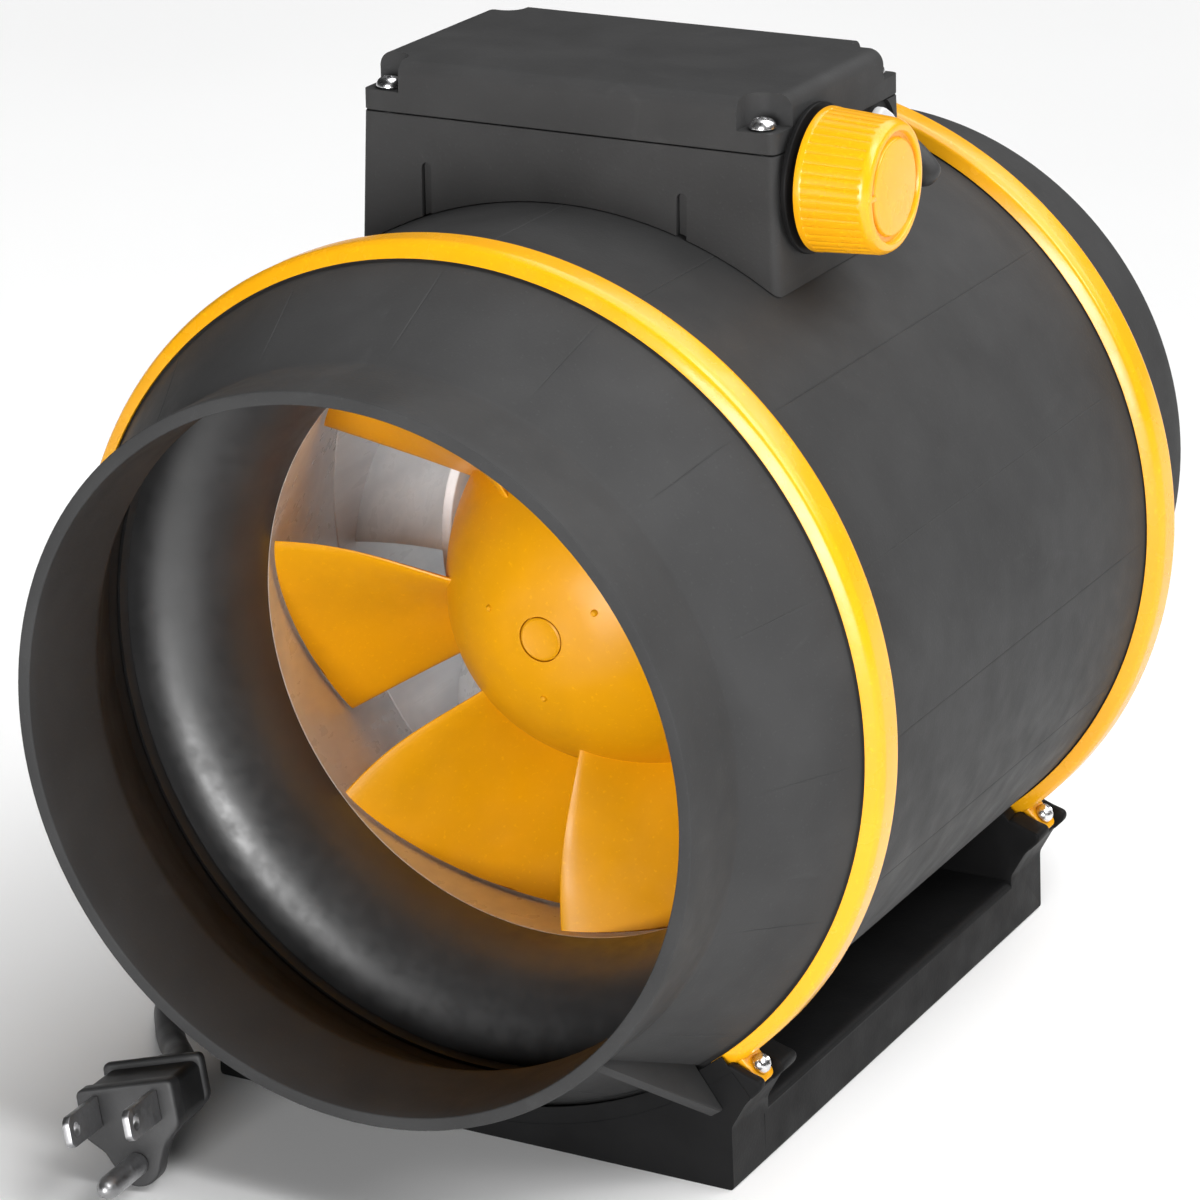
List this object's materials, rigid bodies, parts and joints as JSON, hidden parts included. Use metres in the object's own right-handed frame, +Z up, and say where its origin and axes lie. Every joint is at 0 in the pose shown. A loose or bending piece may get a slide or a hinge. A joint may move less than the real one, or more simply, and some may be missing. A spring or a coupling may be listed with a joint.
{
  "type": "inline duct fan",
  "caption": "Inline duct fan with a dark round housing, yellow clamping bands, orange mixed-flow impeller, control box with speed knob, cradle base and mains lead.",
  "frame": {"origin": "centre of the base's footprint on the floor, under the middle of the housing", "axes": "+Y along the duct from inlet to outlet, +X towards the speed knob, +Z up"},
  "size_m": [0.2444, 0.271, 0.2102],
  "materials": {
    "housing_plastic": "fine-grained charcoal moulding",
    "base_plastic": "semi-matt black moulding",
    "nozzle_plastic": "glossy black moulding",
    "yellow_plastic": "glossy yellow",
    "impeller_plastic": "satin orange yellow",
    "bright_sheet": "brushed bright metal",
    "screw_steel": "zinc plated",
    "motor_iron": "dark laminated iron",
    "copper_wire": "enamelled copper",
    "magnet": "dark grey",
    "circuit_board": "green solder mask",
    "pale_nylon": "off-white nylon",
    "cord_rubber": "black flexible sheath"
  },
  "bodies": {
    "housing": {"band_screw_front_left": "screw_steel", "band_screw_front_right": "screw_steel", "band_screw_rear_left": "screw_steel", "band_screw_rear_right": "screw_steel", "bearing_front": "screw_steel", "bearing_rear": "screw_steel", "capacitor": "base_plastic", "centre_housing": "housing_plastic", "coil_tie": "cord_rubber", "control_board": "circuit_board", "control_box": "housing_plastic", "control_box_lid": "housing_plastic", "cord_coil": "cord_rubber", "cord_strain_relief": "cord_rubber", "dial_plate": "base_plastic", "front_band": "yellow_plastic", "guide_vane_stator": "bright_sheet", "impeller_shroud": "bright_sheet", "inlet_nozzle": "nozzle_plastic", "inlet_shell": "housing_plastic", "lid_screw_front_left": "screw_steel", "lid_screw_front_right": "screw_steel", "lid_screw_rear_left": "screw_steel", "lid_screw_rear_right": "screw_steel", "motor_flange": "bright_sheet", "motor_housing": "base_plastic", "mounting_base": "base_plastic", "outlet_shell": "housing_plastic", "plug_blade_left": "screw_steel", "plug_blade_right": "screw_steel", "plug_body": "cord_rubber", "plug_earth_pin": "screw_steel", "power_cord_lower": "cord_rubber", "power_cord_upper": "cord_rubber", "rear_band": "yellow_plastic", "side_gland_nut": "pale_nylon", "side_gland_plug": "cord_rubber", "speed_potentiometer": "motor_iron", "stator_core": "motor_iron", "terminal_block": "pale_nylon", "winding_front": "copper_wire", "winding_rear": "copper_wire"},
    "rotor": {"impeller": "impeller_plastic", "impeller_nose_cap": "impeller_plastic", "rotor_can": "motor_iron", "magnet_ring": "magnet", "rotor_shaft": "screw_steel"},
    "knob": {"speed_knob": "yellow_plastic", "potentiometer_spindle": "screw_steel"}
  },
  "joints": [
    {"name": "impeller_spin", "type": "hinge", "parent": "housing", "child": "rotor", "pos_m": [0, 0, 0.0963], "axis": [0, 1, 0], "continuous": true},
    {"name": "knob_turn", "type": "hinge", "parent": "housing", "child": "knob", "pos_m": [0.0497, -0.01415, 0.192], "axis": [1, 0, 0], "range_deg": [0, 270]}
  ]
}
